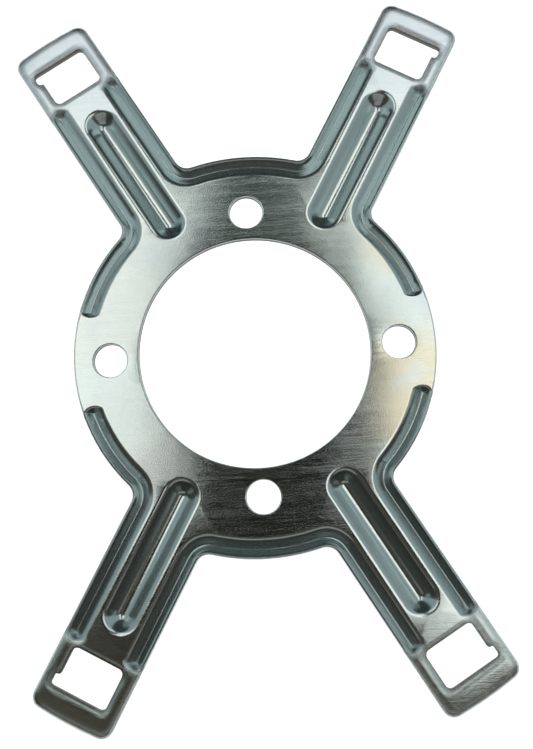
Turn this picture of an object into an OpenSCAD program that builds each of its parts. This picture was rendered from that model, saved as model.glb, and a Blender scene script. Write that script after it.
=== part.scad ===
// Transaxle mounting bracket: one steel sheet, pressed to shape and trimmed.
// The origin is on the axis of the centre hole, in the plane of the upper face.
// +Z points out of that face, and +Y runs along the bracket's long axis.

/* [Sheet] */
// Thickness of the sheet
sheet_t = 1.9; // [1.5:0.1:2.3]
// Inside radius of the bends where the flat turns down into a groove
bend_in_r = 0.15; // [0.1:0.05:0.4]

/* [Ring] */
// Diameter of the large centre hole
centre_d = 61.2; // [56:0.1:63]
// Outer radius of the ring at its plain left and right sides
side_r = 47.9; // [46.5:0.1:50]
// Outer radius of the ring between the arms, at its top and bottom
end_r = 53.9; // [52:0.1:57]
// Half angle of the stretch on each side that has no edge groove
side_plain_angle = 15; // [12:0.5:20]

/* [Bolt holes] */
// Diameter of the circle that the bolt holes are on
bolt_circle_d = 76.2; // [74:0.1:79]
// Diameter of each bolt hole
bolt_hole_d = 8.8; // [6:0.1:10]
// Radius that rounds the upper rim of a round hole
rim_r = 0.4; // [0.2:0.05:0.6]

/* [Arms] */
// Angle of each arm from the bracket's long axis
arm_angle = 30; // [28:0.5:32]
// Width of an arm
arm_w = 22.2; // [21.4:0.1:24]
// Distance from the centre to the end of an arm
arm_reach = 105; // [98:0.5:120]
// Radius of an arm's outer corners
tip_corner_r = 3; // [1:0.5:6]
// Radius of the trimmed edge where an arm meets the ring
root_r = 3.5; // [2:0.5:5]
// Radius that rounds the upper corner of the trimmed edge
lip_r = 0.6; // [0.4:0.05:0.8]

/* [Arm windows] */
// Width of the border between the window and the arm's end
tip_border = 6.5; // [4:0.5:9]
// Size of the window along the arm
window_l = 11.1; // [8:0.1:14]
// Size of the window across the arm
window_w = 14.2; // [10:0.1:15]
// Corner radius of the window
window_r = 1.5; // [1:0.1:2.5]
// Extra width of the notch on the window's outer side
notch_w = 1.3; // [1:0.1:1.6]
// Size of the notch along the arm
notch_l = 3.3; // [2.6:0.1:5]
// Corner radius of the notch
notch_r = 0.9; // [0.5:0.1:0.9]

/* [Edge grooves] */
// Depth of the groove along an edge
groove_depth = 2; // [1.4:0.1:2.6]
// Distance from the trimmed edge to the line at the groove's bottom
groove_line = 2.55; // [2.3:0.05:2.8]
// Distance from the trimmed edge to where the sheet is flat again
groove_w = 5.85; // [5.5:0.05:6.3]
// Radius in the bottom of the groove
groove_r = 0.3; // [0.2:0.05:0.5]
// How far the lip beside a groove stays below the upper face
lip_drop = 0.1; // [0.05:0.05:0.4]
// Length of the slope that closes the groove at its end
groove_stop_l = 1.8; // [1.4:0.1:2.6]
// Gap between a groove's end and the window beyond it
groove_gap = 0.7; // [0.4:0.1:3]

/* [Arm beads] */
// Depth of the long bead in each arm
bead_depth = 3; // [2:0.1:3.4]
// Radius in the bottom of the bead
bead_r = 2.6; // [1:0.1:3]
// Width of the crest left flat between bead and edge groove
crest_w = 0.2; // [0.1:0.1:0.5]
// Gap between the centre hole and the bead
bead_root_gap = 6.6; // [4:0.1:10]
// Gap between the bead and the window
bead_tip_gap = 6.6; // [3:0.1:12]

/* [Hidden] */
$fn = 96;
// How far a cutter runs past what it cuts
over = 1;
// How far a groove's section runs past the trimmed edge
edge_over = 0.3;
// How far the lip's round runs past the trimmed edge, so that none of its points is on the edge
lip_over = 0.02;
// How far the sweeps at a groove's bends and ends lap over their neighbours
lap = 0.1;
lap_angle = 1;
// How far these sweeps are moved out and up, so that no face falls on a neighbour's face
lap_shift = [-0.003, 0.01];
// How much wider a groove's end slope is turned than the groove
stop_margin = 0.4;
// Round of the material between window and notch
tooth_r = 0.4;

half_w = arm_w / 2;
blank_r = arm_reach + tip_border;
blank_z = -2 * (bead_depth + sheet_t);
bend_r = sheet_t + bend_in_r;
window_stop = arm_reach - tip_border;
window_start = window_stop - window_l;

bead_half_w = half_w - groove_w - crest_w;
bead_start = centre_d / 2 + bead_root_gap + bead_half_w;
bead_stop = window_start - bead_tip_gap - bead_half_w;

stop_reach = groove_w - groove_line + stop_margin;
stop_floor_r = stop_reach - groove_stop_l;
stop_bend_r = bend_r / 2;
arm_stop = window_start - groove_gap - stop_reach;
side_stop = side_plain_angle + 2 * asin(stop_reach / (side_r - groove_line) / 2);

// Direction of the right upper arm
arm_way = [sin(arm_angle), cos(arm_angle)];

// Centre of an arm's tip corner, in the arm's frame
tip_corner = [half_w - tip_corner_r, sqrt(pow(arm_reach - tip_corner_r, 2) - pow(half_w - tip_corner_r, 2))];
tip_corner_angle = atan2(tip_corner[1], tip_corner[0]);

// Centre of the round at an arm's root, and its bearing from the arm, for a ring edge of radius r
function root_centre(r) = [half_w + root_r, sqrt(pow(r + root_r, 2) - pow(half_w + root_r, 2))];
function root_bearing(r) = asin((half_w + root_r) / (r + root_r));

// Slope of the wall between an upper round of radius ra and a lower round of radius rb,
// for rounds that start and end level, run apart and drop apart
function wall_slope(run, drop, ra, rb) =
    let(rise = drop - ra - rb) atan2(rise, run) + asin((ra + rb) / norm([run, rise]));

bead_slope = wall_slope(bead_half_w, bead_depth, bend_r, bead_r);
inner_slope = wall_slope(groove_w - groove_line, groove_depth, bend_r, groove_r);
outer_slope = wall_slope(groove_line - lip_r, groove_depth - lip_drop, lip_r, groove_r);
stop_slope = wall_slope(groove_stop_l, groove_depth, stop_bend_r, 0);

// Points of an arc, with fewer steps on a small radius
function arc(centre, r, from, to) =
    let(steps = r < 1 ? 3 : 4, step = (to - from) / steps)
    [for (i = [0:steps]) centre + r * [cos(from + i * step), sin(from + i * step)]];

// Points of the pressed faces in section, as distance and height. With deeper = 0 they
// are the upper face, and with deeper = sheet_t the underside at the sheet's thickness.
function bead_points(deeper) = concat(
    arc([bead_half_w, -bend_r], bend_r - deeper, 90, 90 + bead_slope),
    arc([0, bead_r - bead_depth], bead_r + deeper, bead_slope - 90, -90));

function groove_points(deeper) = concat(
    arc([groove_w, -bend_r], bend_r - deeper, 90, 90 + inner_slope),
    arc([groove_line, groove_r - groove_depth], groove_r + deeper, inner_slope - 90, -90 - outer_slope));

function lip_points(drop, from) =
    concat(arc([lip_r - lip_over, -lip_r - drop], lip_r, from, 180), [[-edge_over, -lip_r - drop]]);

// Half of the bead in section
module bead_half(deeper) {
    top = deeper > 0 ? -sheet_t / 2 : over;
    polygon(concat([[0, top], [bead_half_w, top]], bead_points(deeper)));
}

// Edge groove in section, from the trimmed edge at 0 to the flat
module groove_section(deeper) {
    line = groove_points(deeper);
    last = line[len(line) - 1];
    top = deeper > 0 ? -sheet_t / 2 : over;
    edge = deeper > 0 ? [[-edge_over, last[1] + (last[0] + edge_over) * tan(outer_slope)]]
                      : lip_points(lip_drop, 90 - outer_slope);
    polygon(concat([[-edge_over, top], [groove_w, top]], line, edge));
}

// Slope that closes a groove, in section from the axis that it is turned about
module stop_section(deeper) {
    foot = [stop_floor_r, -groove_depth] + deeper * [sin(stop_slope), -cos(stop_slope)];
    wall = deeper > 0 ? [foot - foot[1] / sin(stop_slope) * [cos(stop_slope), sin(stop_slope)]]
                      : arc([stop_reach, -stop_bend_r], stop_bend_r, 90, 90 + stop_slope);
    toe = foot - [cos(stop_slope), sin(stop_slope)] * over;
    polygon(concat([[0, wall[0][1] + over], [wall[0][0], wall[0][1] + over]], wall, [toe, [0, toe[1]]]));
}

// Rounded upper corner of an edge that has no groove, in section
module lip_section() polygon(concat([[-edge_over, over], [lip_r - lip_over, over]], lip_points(0, 90)));

// Sweeps of a section: straight along +Y, and round the Z axis
module run(from, to) translate([0, to, 0]) rotate([90, 0, 0]) linear_extrude(to - from) children();

module turn(from, to) rotate([0, 0, from]) rotate_extrude(angle = to - from) children();

// Lays a section inwards from an edge at the distance r
module inwards(r) translate([r, 0]) mirror([1, 0]) children();

module flip(axis, on) {
    if (on) mirror(axis) children();
    else children();
}

// Places what is drawn for the right upper quarter in all four quarters
module quarters() {
    for (x = [false, true], y = [false, true]) flip([1, 0, 0], x) flip([0, 1, 0], y) children();
}

// Turns an arm's frame, with +Y along the arm, to the arm's place
module on_arm() rotate([0, 0, -arm_angle]) children();

module bead(deeper) {
    run(bead_start, bead_stop) {
        bead_half(deeper);
        mirror([1, 0]) bead_half(deeper);
    }
    translate([0, bead_stop, 0]) turn(0, 180) bead_half(deeper);
    translate([0, bead_start, 0]) turn(180, 360) bead_half(deeper);
}

// Section of a groove for a sweep that laps over its neighbours
module lapped_section(deeper) translate(lap_shift) groove_section(deeper);

// Closing slope of a groove along an edge at the distance r, from the place at the height y
module groove_stop(deeper, r, y) intersection() {
    run(y - lap, y + stop_reach + over) inwards(r) lapped_section(deeper);
    translate([r - groove_line, y, 0]) rotate_extrude() stop_section(deeper);
}

// Turns an arm's frame so that +Y runs through the centre of the root round, where the
// arm's groove ends and the ring's groove starts
module on_root(r) rotate([0, 0, -root_bearing(r)]) children();

// Groove along the outer edge of an arm and round the root to a ring edge of radius r
module arm_groove(deeper, r) {
    run(root_centre(r)[1], arm_stop) inwards(half_w) groove_section(deeper);
    groove_stop(deeper, half_w, arm_stop);
    on_root(r) translate([0, r + root_r, 0]) mirror([1, 0, 0])
        turn(-90 - lap_angle, lap_angle - root_bearing(r)) translate([root_r, 0]) lapped_section(deeper);
}

// Groove along a ring edge of radius r, over an angle that starts at the root
module ring_groove(deeper, r, angle) on_root(r) rotate([0, 0, 90]) mirror([0, 1, 0])
    rotate_extrude(angle = angle) inwards(r) groove_section(deeper);

// Groove along a side of the ring, in an arm's frame
module side_groove(deeper) {
    span = 90 - arm_angle - root_bearing(side_r) - side_stop;
    ring_groove(deeper, side_r, span);
    on_root(side_r) rotate([0, 0, 90 - span]) mirror([0, 1, 0]) groove_stop(deeper, side_r, 0);
}

// Groove along the ring's top, from one arm to the other
module end_groove(deeper) on_arm() mirror([1, 0, 0])
    ring_groove(deeper, end_r, 2 * (arm_angle - root_bearing(end_r)));

// All that is pressed: the hollows above the sheet, or the metal below it
module pressings(deeper) {
    quarters() {
        on_arm() {
            bead(deeper);
            arm_groove(deeper, side_r);
            side_groove(deeper);
            mirror([1, 0, 0]) arm_groove(deeper, end_r);
        }
    }
    for (y = [false, true]) flip([0, 1, 0], y) end_groove(deeper);
}

// Rounding of the upper corner where the edge has no groove
module plain_edges() {
    quarters() on_arm() {
        for (x = [false, true]) flip([1, 0, 0], x) {
            run(arm_stop, tip_corner[1]) inwards(half_w) lip_section();
            translate([tip_corner[0], tip_corner[1], 0])
                turn(0, tip_corner_angle) inwards(tip_corner_r) lip_section();
        }
        turn(tip_corner_angle, 180 - tip_corner_angle) inwards(arm_reach) lip_section();
    }
    for (x = [false, true]) flip([1, 0, 0], x) turn(-side_stop, side_stop) inwards(side_r) lip_section();
}

// Places what is drawn in the arm's frame in the plane at all four arms
module flat_arms() {
    for (x = [false, true], y = [false, true]) flip([1, 0], x) flip([0, 1], y) rotate(-arm_angle) children();
}

// Arm with the corners that its root rounds are cut from
module arm_blank() difference() {
    intersection() {
        polygon([
            [0, 0],
            root_centre(side_r),
            [half_w, root_centre(side_r)[1]],
            [half_w, blank_r],
            [-half_w, blank_r],
            [-half_w, root_centre(end_r)[1]],
            [-root_centre(end_r)[0], root_centre(end_r)[1]]
        ]);
        circle(arm_reach);
    }
    for (x = [false, true]) flip([1, 0], x) difference() {
        polygon([tip_corner, tip_corner + [blank_r, 0], tip_corner + [blank_r, blank_r], 2 * tip_corner]);
        translate(tip_corner) circle(tip_corner_r);
    }
}

module root_round(r) rotate(-root_bearing(r)) translate([0, r + root_r]) circle(root_r);

// Trimmed edge of the whole bracket, seen from above
module outline() difference() {
    union() {
        circle(side_r);
        for (y = [false, true]) flip([0, 1], y) intersection() {
            circle(end_r);
            polygon([[0, 0], blank_r * [arm_way[0], arm_way[1]], blank_r * [-arm_way[0], arm_way[1]]]);
        }
        flat_arms() arm_blank();
    }
    flat_arms() {
        root_round(side_r);
        mirror([1, 0]) root_round(end_r);
    }
}

module rounded_box(low, high, r) {
    translate([low[0] + r, low[1]]) square([high[0] - low[0] - 2 * r, high[1] - low[1]]);
    translate([low[0], low[1] + r]) square([high[0] - low[0], high[1] - low[1] - 2 * r]);
    for (x = [low[0] + r, high[0] - r], y = [low[1] + r, high[1] - r]) translate([x, y]) circle(r);
}

module window_shape() {
    notch_start = window_stop - notch_l;
    rounded_box([-window_w / 2, window_start], [window_w / 2, window_stop], window_r);
    rounded_box([0, notch_start], [window_w / 2 + notch_w, window_stop], notch_r);
    translate([window_w / 2, notch_start - tooth_r]) difference() {
        square(tooth_r);
        translate([tooth_r, 0]) circle(tooth_r);
    }
}

// Round hole of diameter d with a rounded upper rim
module hole(d) {
    rim = arc([rim_r, -rim_r], rim_r, 90, 180);
    translate([0, 0, -sheet_t - over]) cylinder(d = d, h = sheet_t + 2 * over);
    rotate_extrude() translate([d / 2, 0])
        polygon(concat([[-over, over], [rim_r, over]], rim, [[-over, -rim_r]]));
}

module bracket() color([0.71, 0.73, 0.72]) difference() {
    intersection() {
        difference() {
            union() {
                translate([0, 0, -sheet_t]) cylinder(r = blank_r, h = sheet_t);
                pressings(sheet_t);
            }
            pressings(0);
            plain_edges();
        }
        translate([0, 0, blank_z]) linear_extrude(-blank_z + over) outline();
    }
    hole(centre_d);
    for (a = [0:90:270]) rotate([0, 0, a]) translate([bolt_circle_d / 2, 0, 0]) hole(bolt_hole_d);
    quarters() on_arm() translate([0, 0, -sheet_t - over])
        linear_extrude(sheet_t + 2 * over) window_shape();
}

bracket();
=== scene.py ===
"""Transaxle mounting bracket: the pressed sheet with its zinc finish, and a plain studio round it."""

import math

import bmesh
import bpy
from bpy.props import FloatProperty, FloatVectorProperty, PointerProperty
from mathutils import Matrix, Vector


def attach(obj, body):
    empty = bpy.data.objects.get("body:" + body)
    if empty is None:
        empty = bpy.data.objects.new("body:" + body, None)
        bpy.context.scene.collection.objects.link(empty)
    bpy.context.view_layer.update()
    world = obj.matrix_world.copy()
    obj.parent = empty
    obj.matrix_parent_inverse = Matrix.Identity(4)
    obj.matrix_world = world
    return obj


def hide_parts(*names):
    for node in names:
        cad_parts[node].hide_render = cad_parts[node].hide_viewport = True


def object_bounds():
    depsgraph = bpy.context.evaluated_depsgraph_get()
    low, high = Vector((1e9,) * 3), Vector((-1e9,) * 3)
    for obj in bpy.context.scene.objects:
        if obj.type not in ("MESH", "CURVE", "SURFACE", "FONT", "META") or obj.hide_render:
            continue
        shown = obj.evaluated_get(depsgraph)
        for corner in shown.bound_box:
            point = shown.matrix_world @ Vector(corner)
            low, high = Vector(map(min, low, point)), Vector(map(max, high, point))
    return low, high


bl_info = {
    "name": "Transaxle mounting bracket",
    "version": (1, 0, 0),
    "blender": (4, 5, 0),
    "location": "3D View > Sidebar > Bracket",
    "description": "Builds the pressed steel bracket, its zinc finish and a plain studio",
    "category": "Object",
}

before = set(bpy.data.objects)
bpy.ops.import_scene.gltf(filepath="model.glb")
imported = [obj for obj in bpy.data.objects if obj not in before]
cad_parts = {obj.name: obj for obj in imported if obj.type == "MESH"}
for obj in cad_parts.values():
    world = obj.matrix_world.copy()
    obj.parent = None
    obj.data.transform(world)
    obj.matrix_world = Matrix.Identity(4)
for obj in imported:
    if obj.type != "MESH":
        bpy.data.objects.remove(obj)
CAD_BOX = [list(corner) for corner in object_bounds()]
NODE = "bracket"

# Marks on the sheet. A scale is in repeats a metre, along and across the brush lines where it has
# three numbers. A shade is how far a mark moves the grey from its middle.
LINE_SCALE = (110.0, 3600.0, 300.0)
SCUFF_SCALE = (25.0, 700.0, 300.0)
SCUFF_TURN = 0.06
GRAIN_SCALE = 2600.0
WAVE_SCALE = 38.0
BLOTCH_SCALE, BLOTCH_STRETCH = 22.0, (1.0, 1.3, 1.0)
CLOUD_SCALE, CLOUD_STRETCH, CLOUD_TURN = 48.0, (1.2, 0.8, 1.0), 0.4
LINE_SHADE, SCUFF_SHADE, GRAIN_SHADE = 0.5, 0.2, 0.65
WALL_GRAIN = 0.3
GLOSS_SHARE = 0.7
BUMP_STRENGTH = 0.5
EDGE_SAMPLES = 6
FACE_WEIGHT = 80

# How far a face's normal points up, where it turns from wall to flat and from cut edge to wall.
FLAT_UP = (0.93, 0.995)
CUT_UP = (0.02, 0.12)

# Where the tints come in: places in metres across and along the bracket, levels of
# their blotches and clouds, and shares of the tint. The straw tint and the cool spots are tints of
# the plate, and the cool tint at the upper tips is a painted reflection.
STRAW_ACROSS = (0.022, 0.036)
STRAW_ALONG = (0.028, 0.045)
STRAW_BLOTCH = (0.43, 0.55)
STRAW_LEFT = 0.15
TIP_REFLECTION_ALONG = (0.055, 0.085)
COOL_CLOUD = (0.48, 0.70)
TIP_PAINTED_REFLECTION, COOL_SPOT = 0.75, 0.6

# Stage: the dim front panel, the floor, and the room, which changes with a direction's height
# near the floor and overhead, and with its way along the bracket towards the back.
FRONT_SIZE = (1.1, 0.3)
FRONT_PLACE = (0.0, -0.60, 0.52)
FRONT_TILT = math.radians(58.0)
FLOOR_HALF = 3.0
FLOOR_GREY = 0.85
FLOOR_GLOW = 0.86
LOW_ROOM = (0.05, 0.5)
SHADOW_ROOM = (0.955, 0.995)
BACK_ROOM = (0.0, 0.3)
WHITE = (1.0, 1.0, 1.0)


class BRACKET_PG_sheet(bpy.types.PropertyGroup):
    """Sizes of the finished sheet."""

    bend_angle: FloatProperty(
        name="Bend angle",
        description="Neighbouring faces that turn by less than this are shaded as one smooth bend",
        default=math.radians(24.0),
        min=0.0,
        max=math.pi,
        subtype="ANGLE",
    )
    weld: FloatProperty(
        name="Weld distance",
        description="Points of the CAD mesh closer than this are made one point",
        default=0.000002,
        subtype="DISTANCE",
        unit="LENGTH",
        precision=6,
    )


class BRACKET_PG_finish(bpy.types.PropertyGroup):
    """Look of the zinc plate."""

    zinc: FloatVectorProperty(
        name="Zinc",
        description="Colour of the bare zinc plate",
        subtype="COLOR",
        size=3,
        min=0.0,
        max=1.0,
        default=(0.76, 0.85, 0.81),
    )
    # The pressed walls get a darker grey-green than the flats, which is painted shade.
    painted_wall_shade: FloatVectorProperty(
        name="Pressed wall",
        description="Colour of the plate on the pressed walls",
        subtype="COLOR",
        size=3,
        min=0.0,
        max=1.0,
        default=(0.55, 0.64, 0.64),
    )
    straw: FloatVectorProperty(
        name="Straw tint",
        description="Warm tint in the plate",
        subtype="COLOR",
        size=3,
        min=0.0,
        max=1.0,
        default=(0.82, 0.78, 0.60),
    )
    # This cool tint is partly the plate's own cool spots and partly a painted reflection at the upper
    # tips.
    lavender_and_painted_reflection: FloatVectorProperty(
        name="Lavender tint",
        description="Cool tint in the plate",
        subtype="COLOR",
        size=3,
        min=0.0,
        max=1.0,
        default=(0.64, 0.70, 0.76),
    )
    face_roughness: FloatProperty(
        name="Face roughness",
        description="Roughness of the flat brushed faces",
        default=0.13,
        min=0.0,
        max=1.0,
        subtype="FACTOR",
    )
    wall_roughness: FloatProperty(
        name="Wall roughness",
        description="Roughness of the pressed walls, which the tool has ironed smooth",
        default=0.22,
        min=0.0,
        max=1.0,
        subtype="FACTOR",
    )
    # The dark colour of the upright cut edges and bores is partly duller sheared metal and partly
    # painted shade.
    cut_edge_and_painted_shade: FloatVectorProperty(
        name="Cut edge",
        description="Colour of the sheared edges, which stay duller than the faces",
        subtype="COLOR",
        size=3,
        min=0.0,
        max=1.0,
        default=(0.13, 0.12, 0.105),
    )
    cut_roughness: FloatProperty(
        name="Cut edge roughness",
        description="Roughness of the sheared edges",
        default=0.45,
        min=0.0,
        max=1.0,
        subtype="FACTOR",
    )
    brush: FloatProperty(
        name="Brush marks",
        description="How much the brush lines and the grain change the shade and the roughness",
        default=0.08,
        min=0.0,
        max=1.0,
        subtype="FACTOR",
    )
    brush_height: FloatProperty(
        name="Brush height",
        description="Height of the brush lines and the grain",
        default=0.000008,
        unit="LENGTH",
        subtype="DISTANCE",
        precision=7,
    )
    edge_roll: FloatProperty(
        name="Edge roll",
        description="Radius by which the sheet's edges and creases look rolled over",
        default=0.0002,
        min=0.0,
        unit="LENGTH",
        subtype="DISTANCE",
        precision=5,
    )
    tip_roll: FloatProperty(
        name="Tip roll",
        description="Radius by which the edges of the arms' tips and windows look rolled over",
        default=0.003,
        min=0.0,
        unit="LENGTH",
        subtype="DISTANCE",
        precision=5,
    )
    tip_reach: FloatVectorProperty(
        name="Tip reach",
        description="Distances from the middle at which an arm's tip starts and is fully rolled",
        size=2,
        unit="LENGTH",
        default=(0.082, 0.0885),
    )
    wave_height: FloatProperty(
        name="Wave height",
        description="Height of the slow waves in the pressed sheet",
        default=0.00025,
        unit="LENGTH",
        subtype="DISTANCE",
        precision=7,
    )


class BRACKET_PG_stage(bpy.types.PropertyGroup):
    """Camera, light panels and floor."""

    lens: FloatProperty(
        name="Lens", description="Focal length of the camera", default=43.26, subtype="DISTANCE_CAMERA"
    )
    distance: FloatProperty(
        name="Distance",
        description="Distance from the camera to the plane of the upper face, along the view",
        default=0.2368124,
        unit="LENGTH",
        subtype="DISTANCE",
        precision=5,
    )
    turn: FloatVectorProperty(
        name="Turn",
        description="Tilt, yaw and roll of the bracket in front of the camera",
        size=3,
        subtype="EULER",
        default=(-0.14872, -0.02013, 0.0635),
    )
    offset: FloatVectorProperty(
        name="Offset",
        description="Offset of the bracket across the view",
        size=2,
        unit="LENGTH",
        default=(-0.00315142, 0.00617846),
        precision=6,
    )
    left_light: FloatProperty(
        name="Left panel", description="Brightness of the left light panel", default=1.02, min=0.0
    )
    right_light: FloatProperty(
        name="Right panel", description="Brightness of the right light panel", default=1.04, min=0.0
    )
    panel_top: FloatVectorProperty(
        name="Panel top",
        description="Distance from the middle and height of the upper edge of each light panel",
        size=2,
        unit="LENGTH",
        default=(0.102, 0.6),
    )
    panel_fold: FloatVectorProperty(
        name="Panel fold",
        description="Distance and height of the edge between the bright upper and the dimmer lower part",
        size=2,
        unit="LENGTH",
        default=(0.27, 0.50),
    )
    panel_foot: FloatVectorProperty(
        name="Panel foot",
        description="Distance and height of the lower edge of each light panel",
        size=2,
        unit="LENGTH",
        default=(0.8, 0.02),
    )
    panel_splay: FloatProperty(
        name="Panel splay",
        description="Angle by which the light panels come closer together towards the back",
        default=math.radians(6.0),
        subtype="ANGLE",
    )
    left_span: FloatVectorProperty(
        name="Left span",
        description="Where the left light panel starts and ends along the bracket",
        size=2,
        unit="LENGTH",
        default=(-0.055, 0.46),
    )
    right_span: FloatVectorProperty(
        name="Right span",
        description="Where the right light panel starts and ends along the bracket",
        size=2,
        unit="LENGTH",
        default=(-0.198, 0.46),
    )
    low_share: FloatProperty(
        name="Lower share",
        description="Brightness of the lower part of a panel, as a share of its upper part",
        default=0.36,
        min=0.0,
        max=1.0,
        subtype="FACTOR",
    )
    low_colour: FloatVectorProperty(
        name="Lower colour",
        description="Colour of the lower part of each light panel",
        subtype="COLOR",
        size=3,
        min=0.0,
        max=1.0,
        default=(0.85, 0.97, 1.0),
    )
    front_light: FloatProperty(
        name="Front panel", description="Brightness of the dim front panel", default=0.3, min=0.0
    )
    room_colour: FloatVectorProperty(
        name="Room colour",
        description="Colour of the dark room that the metal reflects",
        subtype="COLOR",
        size=3,
        min=0.0,
        max=1.0,
        default=(1.0, 0.88, 0.72),
    )
    room_back: FloatVectorProperty(
        name="Room colour at the back",
        description="Colour of the room behind the bracket that the metal reflects",
        subtype="COLOR",
        size=3,
        min=0.0,
        max=1.0,
        default=(0.80, 1.0, 0.93),
    )
    room_light: FloatProperty(
        name="Room", description="Brightness of the dark room overhead", default=0.065, min=0.0
    )
    room_low: FloatProperty(
        name="Room near the floor",
        description="Brightness of the dark room near the floor",
        default=0.015,
        min=0.0,
    )
    room_shadow: FloatProperty(
        name="Room shadow",
        description="Share of the room's brightness that is left straight overhead, behind the camera",
        default=0.16,
        min=0.0,
        max=1.0,
        subtype="FACTOR",
    )
    floor_gap: FloatProperty(
        name="Floor gap",
        description="Gap between the lowest point of the bracket and the floor",
        default=0.00002,
        unit="LENGTH",
        subtype="DISTANCE",
        precision=6,
    )


def new_nodes(owner):
    """Nodes and links of the emptied node tree of a material or world."""
    owner.use_nodes = True
    owner.node_tree.nodes.clear()
    return owner.node_tree.nodes, owner.node_tree.links


def value_math(nodes, links, operation, a, b=None, clamp=False):
    """Output of a math node on two sockets or numbers."""
    node = nodes.new("ShaderNodeMath")
    node.operation = operation
    node.use_clamp = clamp
    for socket, given in zip(node.inputs, (a, b)):
        if given is None:
            continue
        if isinstance(given, bpy.types.NodeSocket):
            links.new(given, socket)
        else:
            socket.default_value = given
    return node.outputs[0]


def map_range(nodes, links, given, low, high, to_low=0.0, to_high=1.0, smooth=True):
    """Output of a map range node, with an eased or a straight run between the two ends."""
    node = nodes.new("ShaderNodeMapRange")
    node.interpolation_type = "SMOOTHSTEP" if smooth else "LINEAR"
    links.new(given, node.inputs["Value"])
    for name, number in (("From Min", low), ("From Max", high), ("To Min", to_low), ("To Max", to_high)):
        if isinstance(number, bpy.types.NodeSocket):
            links.new(number, node.inputs[name])
        else:
            node.inputs[name].default_value = number
    return node.outputs["Result"]


def noise(nodes, links, vector, scale, detail, roughness=0.5):
    """Grey value of a noise texture."""
    node = nodes.new("ShaderNodeTexNoise")
    links.new(vector, node.inputs["Vector"])
    node.inputs["Scale"].default_value = scale
    node.inputs["Detail"].default_value = detail
    node.inputs["Roughness"].default_value = roughness
    return node.outputs["Fac"]


def stretched(nodes, links, vector, scale, turn=0.0):
    """Coordinates stretched by a scale along each axis and turned in the sheet's plane."""
    node = nodes.new("ShaderNodeMapping")
    links.new(vector, node.inputs["Vector"])
    node.inputs["Scale"].default_value = scale
    node.inputs["Rotation"].default_value = (0.0, 0.0, turn)
    return node.outputs["Vector"]


def mix_colour(nodes, links, factor, a, b):
    """Mix of two colours by a mask socket. The colours are sockets or plain values."""
    node = nodes.new("ShaderNodeMix")
    node.data_type = "RGBA"
    links.new(factor, node.inputs["Factor"])
    for socket, given in ((node.inputs["A"], a), (node.inputs["B"], b)):
        if isinstance(given, bpy.types.NodeSocket):
            links.new(given, socket)
        else:
            socket.default_value = (*given, 1.0)
    return node.outputs["Result"]


def brushed_group():
    """Fine brush lines and grain, as a shade round 0.5, and the slow waves of a pressed sheet."""
    group = bpy.data.node_groups.new("brushed_sheet", "ShaderNodeTree")
    group.interface.new_socket("Vector", in_out="INPUT", socket_type="NodeSocketVector")
    group.interface.new_socket("Face", in_out="INPUT", socket_type="NodeSocketFloat")
    group.interface.new_socket("Shade", in_out="OUTPUT", socket_type="NodeSocketFloat")
    group.interface.new_socket("Waves", in_out="OUTPUT", socket_type="NodeSocketFloat")
    nodes, links = group.nodes, group.links
    given = nodes.new("NodeGroupInput").outputs
    out = nodes.new("NodeGroupOutput").inputs
    vector, face = given["Vector"], given["Face"]
    lines = noise(nodes, links, stretched(nodes, links, vector, LINE_SCALE), 1.0, 3.0, 0.65)
    scuffs = noise(nodes, links, stretched(nodes, links, vector, SCUFF_SCALE, SCUFF_TURN), 1.0, 2.0)
    grain = noise(nodes, links, vector, GRAIN_SCALE, 3.0, 0.7)
    lines = map_range(nodes, links, lines, 0.32, 0.68, -LINE_SHADE, LINE_SHADE, False)
    scuffs = map_range(nodes, links, scuffs, 0.35, 0.65, -SCUFF_SHADE, SCUFF_SHADE, False)
    grain = map_range(nodes, links, grain, 0.3, 0.7, -GRAIN_SHADE, GRAIN_SHADE, False)
    share = map_range(nodes, links, face, 0.0, 1.0, WALL_GRAIN, 1.0)
    grain = value_math(nodes, links, "MULTIPLY", grain, share)
    brush = value_math(nodes, links, "ADD", lines, scuffs)
    brush = value_math(nodes, links, "MULTIPLY", brush, face)
    shade = value_math(nodes, links, "ADD", brush, grain)
    links.new(value_math(nodes, links, "ADD", shade, 0.5), out["Shade"])
    waves = noise(nodes, links, vector, WAVE_SCALE, 1.0, 0.4)
    links.new(waves, out["Waves"])
    return group


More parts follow.
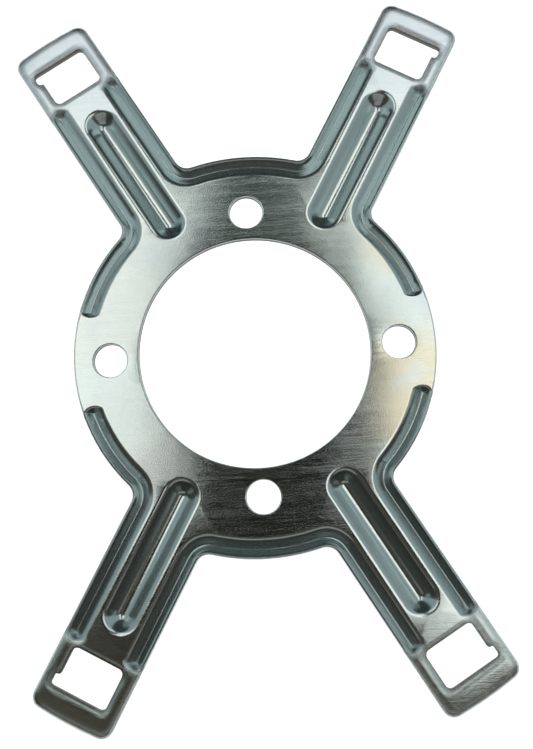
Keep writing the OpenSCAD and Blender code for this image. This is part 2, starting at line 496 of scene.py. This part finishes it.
def plate_colour_and_painted_light(nodes, links, finish, place, face):
    """Zinc with a straw tint at the ring's right and a cool tint in spots, with a painted reflection as
    a cool tint at the upper tips and painted shade on the pressed walls.
    """
    blotch = stretched(nodes, links, place, BLOTCH_STRETCH)
    blotch = noise(nodes, links, blotch, BLOTCH_SCALE, 3.0, 0.55)
    cloud = stretched(nodes, links, place, CLOUD_STRETCH, CLOUD_TURN)
    cloud = noise(nodes, links, cloud, CLOUD_SCALE, 4.0, 0.6)
    across = nodes.new("ShaderNodeSeparateXYZ")
    links.new(place, across.inputs[0])
    right = map_range(nodes, links, across.outputs["X"], *STRAW_ACROSS, STRAW_LEFT, 1.0)
    away = value_math(nodes, links, "ABSOLUTE", across.outputs["Y"])
    middle = map_range(nodes, links, away, *STRAW_ALONG, 1.0, 0.0)
    right = value_math(nodes, links, "MULTIPLY", right, middle)
    straw = map_range(nodes, links, blotch, *STRAW_BLOTCH)
    straw = value_math(nodes, links, "MULTIPLY", straw, right)
    # The cool tint towards the upper tips is a painted reflection, and the cool spots from the cloud are
    # the plate's own.
    upper = map_range(nodes, links, across.outputs["Y"], *TIP_REFLECTION_ALONG, 0.0, TIP_PAINTED_REFLECTION)
    cool = map_range(nodes, links, cloud, *COOL_CLOUD, 0.0, COOL_SPOT)
    cool = value_math(nodes, links, "MAXIMUM", cool, upper)
    colour = mix_colour(nodes, links, cool, tuple(finish.zinc), tuple(finish.lavender_and_painted_reflection))
    colour = mix_colour(nodes, links, straw, colour, tuple(finish.straw))
    # The darker colour on the pressed walls is painted shade.
    return mix_colour(nodes, links, face, tuple(finish.painted_wall_shade), colour)


def zinc_material(finish):
    """Bright zinc plate over brushed sheet, with painted shade on the pressed walls and dark cut edges
    that are partly duller sheared metal and partly painted shade.
    """
    material = bpy.data.materials.new("zinc_plate")
    nodes, links = new_nodes(material)
    coordinates = nodes.new("ShaderNodeTexCoord")
    place = coordinates.outputs["Object"]
    facing = nodes.new("ShaderNodeSeparateXYZ")
    links.new(coordinates.outputs["Normal"], facing.inputs[0])
    face = map_range(nodes, links, facing.outputs["Z"], *FLAT_UP)

    brushed = nodes.new("ShaderNodeGroup")
    brushed.node_tree = brushed_group()
    links.new(place, brushed.inputs["Vector"])
    links.new(face, brushed.inputs["Face"])
    shade = brushed.outputs["Shade"]

    colour = plate_colour_and_painted_light(nodes, links, finish, place, face)
    # Upright faces get a dark colour, which is partly duller sheared metal and partly painted shade.
    upright = value_math(nodes, links, "ABSOLUTE", facing.outputs["Z"])
    cut = map_range(nodes, links, upright, *CUT_UP, 1.0, 0.0)
    colour = mix_colour(nodes, links, cut, colour, tuple(finish.cut_edge_and_painted_shade))

    rough = (finish.wall_roughness, finish.face_roughness)
    roughness = map_range(nodes, links, face, 0.0, 1.0, *rough, False)
    roughness = map_range(nodes, links, cut, 0.0, 1.0, roughness, finish.cut_roughness, False)
    change = finish.brush * GLOSS_SHARE
    change = map_range(nodes, links, shade, 0.0, 1.0, -change, change, False)
    roughness = value_math(nodes, links, "ADD", roughness, change, True)
    dull = map_range(nodes, links, shade, 0.0, 1.0, 1.0 - finish.brush, 1.0 + finish.brush, False)
    shaded = nodes.new("ShaderNodeHueSaturation")
    links.new(colour, shaded.inputs["Color"])
    links.new(dull, shaded.inputs["Value"])

    reach = nodes.new("ShaderNodeVectorMath")
    reach.operation = "LENGTH"
    links.new(place, reach.inputs[0])
    roll = (finish.edge_roll, finish.tip_roll)
    roll = map_range(nodes, links, reach.outputs["Value"], *finish.tip_reach, *roll)
    # The roll of the edges is in the shading alone, and the sheet's own edges stay sharp.
    edges = nodes.new("ShaderNodeBevel")
    edges.samples = EDGE_SAMPLES
    links.new(roll, edges.inputs["Radius"])
    waves = nodes.new("ShaderNodeBump")
    waves.inputs["Strength"].default_value = 1.0
    waves.inputs["Distance"].default_value = finish.wave_height
    links.new(brushed.outputs["Waves"], waves.inputs["Height"])
    links.new(edges.outputs["Normal"], waves.inputs["Normal"])
    bump = nodes.new("ShaderNodeBump")
    bump.inputs["Strength"].default_value = BUMP_STRENGTH
    bump.inputs["Distance"].default_value = finish.brush_height
    links.new(shade, bump.inputs["Height"])
    links.new(waves.outputs["Normal"], bump.inputs["Normal"])

    shader = nodes.new("ShaderNodeBsdfPrincipled")
    shader.inputs["Metallic"].default_value = 1.0
    links.new(shaded.outputs["Color"], shader.inputs["Base Color"])
    links.new(roughness, shader.inputs["Roughness"])
    links.new(bump.outputs["Normal"], shader.inputs["Normal"])
    out = nodes.new("ShaderNodeOutputMaterial")
    links.new(shader.outputs[0], out.inputs["Surface"])
    return material


def linked(name, data):
    """New object in the scene with the given mesh, lamp or camera."""
    piece = bpy.data.objects.new(name, data)
    bpy.context.scene.collection.objects.link(piece)
    return piece


class BRACKET_OT_sheet(bpy.types.Operator):
    """Pressed sheet with its bends shaded smooth and its zinc finish"""

    bl_idname = "bracket.sheet"
    bl_label = "Pressed sheet"

    def execute(self, context):
        sizes = context.scene.bracket_sheet
        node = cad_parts[NODE]
        shape = bmesh.new()
        shape.from_mesh(node.data)
        bmesh.ops.remove_doubles(shape, verts=shape.verts, dist=sizes.weld)
        bmesh.ops.dissolve_degenerate(shape, dist=sizes.weld, edges=shape.edges)
        for face in shape.faces:
            face.smooth = True
        for edge in shape.edges:
            edge.smooth = len(edge.link_faces) == 2 and edge.calc_face_angle(math.pi) < sizes.bend_angle
        mesh = bpy.data.meshes.new("pressed_sheet")
        shape.to_mesh(mesh)
        shape.free()
        piece = linked("pressed_sheet", mesh)
        piece.data.materials.append(zinc_material(context.scene.bracket_finish))
        weighted = piece.modifiers.new("face_weighted", "WEIGHTED_NORMAL")
        weighted.keep_sharp = True
        weighted.weight = FACE_WEIGHT
        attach(piece, "root")
        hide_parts(NODE)
        return {"FINISHED"}


def light_panel(name, top, foot, span, splay, brightness, colour):
    """Soft box between an upper and a lower edge, which faces down to the bracket."""
    size_x, size_y = (top - foot).length, span[1] - span[0]
    lamp = bpy.data.lights.new(name, "AREA")
    lamp.shape = "RECTANGLE"
    lamp.size, lamp.size_y = size_x, size_y
    lamp.energy = brightness * math.pi * size_x * size_y
    lamp.color = colour
    panel = linked(name, lamp)
    along = (top - foot).normalized()
    across = Vector((0.0, 1.0, 0.0))
    facing = along.cross(across)
    if facing.z < 0.0:
        facing, across = -facing, -across
    turn = Matrix((along, across, facing)).transposed().to_4x4()
    centre = (top + foot) / 2 + Vector((0.0, sum(span) / 2, 0.0))
    panel.matrix_world = Matrix.Rotation(splay, 4, "Z") @ Matrix.Translation(centre) @ turn


class BRACKET_OT_stage(bpy.types.Operator):
    """Camera, floor, room and light panels"""

    bl_idname = "bracket.stage"
    bl_label = "Studio"

    def execute(self, context):
        stage = context.scene.bracket_stage
        self.camera(stage)
        self.floor(stage)
        self.room(stage)
        for name, side, light, span in (
            ("left", -1.0, stage.left_light, stage.left_span),
            ("right", 1.0, stage.right_light, stage.right_span),
        ):
            places = (stage.panel_top, stage.panel_fold, stage.panel_foot)
            top, fold, foot = [Vector((side * place[0], 0.0, place[1])) for place in places]
            splay = side * stage.panel_splay
            light_panel(name + "_upper", top, fold, span, splay, light, WHITE)
            light *= stage.low_share
            light_panel(name + "_lower", fold, foot, span, splay, light, tuple(stage.low_colour))
        self.front_panel(stage)
        return {"FINISHED"}

    def front_panel(self, stage):
        """Dim soft box in front, which shows in the end slopes of the upper arms' beads."""
        lamp = bpy.data.lights.new("front", "AREA")
        lamp.shape = "RECTANGLE"
        lamp.size, lamp.size_y = FRONT_SIZE
        lamp.energy = stage.front_light * math.pi * lamp.size * lamp.size_y
        panel = linked("front", lamp)
        panel.location = FRONT_PLACE
        panel.rotation_euler = (FRONT_TILT, 0.0, 0.0)

    def camera(self, stage):
        """Camera in front of the turned bracket."""
        data = bpy.data.cameras.new("camera")
        data.lens = stage.lens
        data.clip_start, data.clip_end = 0.01, 10.0
        camera = linked("camera", data)
        tilt, yaw, roll = stage.turn
        turned = Matrix.Rotation(tilt, 3, "X") @ Matrix.Rotation(yaw, 3, "Y")
        back = (turned @ Matrix.Rotation(roll, 3, "Z")).transposed()
        place = back @ Vector((-stage.offset[0], -stage.offset[1], stage.distance))
        camera.matrix_world = Matrix.Translation(place) @ back.to_4x4()
        bpy.context.scene.camera = camera

    def floor(self, stage):
        """Pale floor that the camera and the metal see as near white, and that keeps the shadow."""
        plate = bmesh.new()
        bmesh.ops.create_grid(plate, x_segments=1, y_segments=1, size=FLOOR_HALF)
        level = CAD_BOX[0][2] - stage.floor_gap
        bmesh.ops.translate(plate, verts=plate.verts, vec=(0.0, 0.0, level))
        mesh = bpy.data.meshes.new("floor")
        plate.to_mesh(mesh)
        plate.free()
        floor = linked("floor", mesh)
        material = bpy.data.materials.new("pale_floor")
        nodes, links = new_nodes(material)
        path = nodes.new("ShaderNodeLightPath")
        seen = path.outputs["Is Camera Ray"]
        for ray in ("Is Glossy Ray", "Is Transmission Ray"):
            seen = value_math(nodes, links, "MAXIMUM", seen, path.outputs[ray])
        glow = nodes.new("ShaderNodeEmission")
        links.new(value_math(nodes, links, "MULTIPLY", seen, FLOOR_GLOW), glow.inputs["Strength"])
        matt = nodes.new("ShaderNodeBsdfDiffuse")
        matt.inputs["Color"].default_value = (FLOOR_GREY, FLOOR_GREY, FLOOR_GREY, 1.0)
        both = nodes.new("ShaderNodeAddShader")
        links.new(glow.outputs[0], both.inputs[0])
        links.new(matt.outputs[0], both.inputs[1])
        links.new(both.outputs[0], nodes.new("ShaderNodeOutputMaterial").inputs["Surface"])
        mesh.materials.append(material)

    def room(self, stage):
        """Dark room that the metal reflects, warm in front and cool behind, white to the camera."""
        world = bpy.data.worlds.new("room")
        bpy.context.scene.world = world
        nodes, links = new_nodes(world)
        way = nodes.new("ShaderNodeSeparateXYZ")
        links.new(nodes.new("ShaderNodeTexCoord").outputs["Generated"], way.inputs[0])
        room = nodes.new("ShaderNodeBackground")
        seen = nodes.new("ShaderNodeLightPath").outputs["Is Camera Ray"]
        back = map_range(nodes, links, way.outputs["Y"], *BACK_ROOM)
        colour = mix_colour(nodes, links, back, tuple(stage.room_colour), tuple(stage.room_back))
        links.new(mix_colour(nodes, links, seen, colour, WHITE), room.inputs["Color"])
        level = (stage.room_low, stage.room_light)
        level = map_range(nodes, links, way.outputs["Z"], *LOW_ROOM, *level)
        shadow = map_range(nodes, links, way.outputs["Z"], *SHADOW_ROOM, 1.0, stage.room_shadow)
        level = value_math(nodes, links, "MULTIPLY", level, shadow)
        links.new(value_math(nodes, links, "MAXIMUM", level, seen), room.inputs["Strength"])
        links.new(room.outputs[0], nodes.new("ShaderNodeOutputWorld").inputs["Surface"])


class BRACKET_PT_panel(bpy.types.Panel):
    """Bracket settings"""

    bl_idname = "BRACKET_PT_panel"
    bl_label = "Transaxle bracket"
    bl_space_type = "VIEW_3D"
    bl_region_type = "UI"
    bl_category = "Bracket"

    def draw(self, context):
        layout = self.layout
        layout.operator("bracket.sheet")
        layout.operator("bracket.stage")
        scene = context.scene
        for group in (scene.bracket_sheet, scene.bracket_finish, scene.bracket_stage):
            box = layout.box()
            for name in group.__annotations__:
                box.prop(group, name)


CLASSES = (
    BRACKET_PG_sheet,
    BRACKET_PG_finish,
    BRACKET_PG_stage,
    BRACKET_OT_sheet,
    BRACKET_OT_stage,
    BRACKET_PT_panel,
)


def register():
    for item in CLASSES:
        bpy.utils.register_class(item)
    bpy.types.Scene.bracket_sheet = PointerProperty(type=BRACKET_PG_sheet)
    bpy.types.Scene.bracket_finish = PointerProperty(type=BRACKET_PG_finish)
    bpy.types.Scene.bracket_stage = PointerProperty(type=BRACKET_PG_stage)


def unregister():
    del bpy.types.Scene.bracket_stage
    del bpy.types.Scene.bracket_finish
    del bpy.types.Scene.bracket_sheet
    for item in reversed(CLASSES):
        bpy.utils.unregister_class(item)


def main():
    """Build the finished sheet and its stage."""
    register()
    bpy.context.scene.view_settings.view_transform = "Standard"
    bpy.ops.bracket.sheet()
    bpy.ops.bracket.stage()


if __name__ == "__main__":
    main()
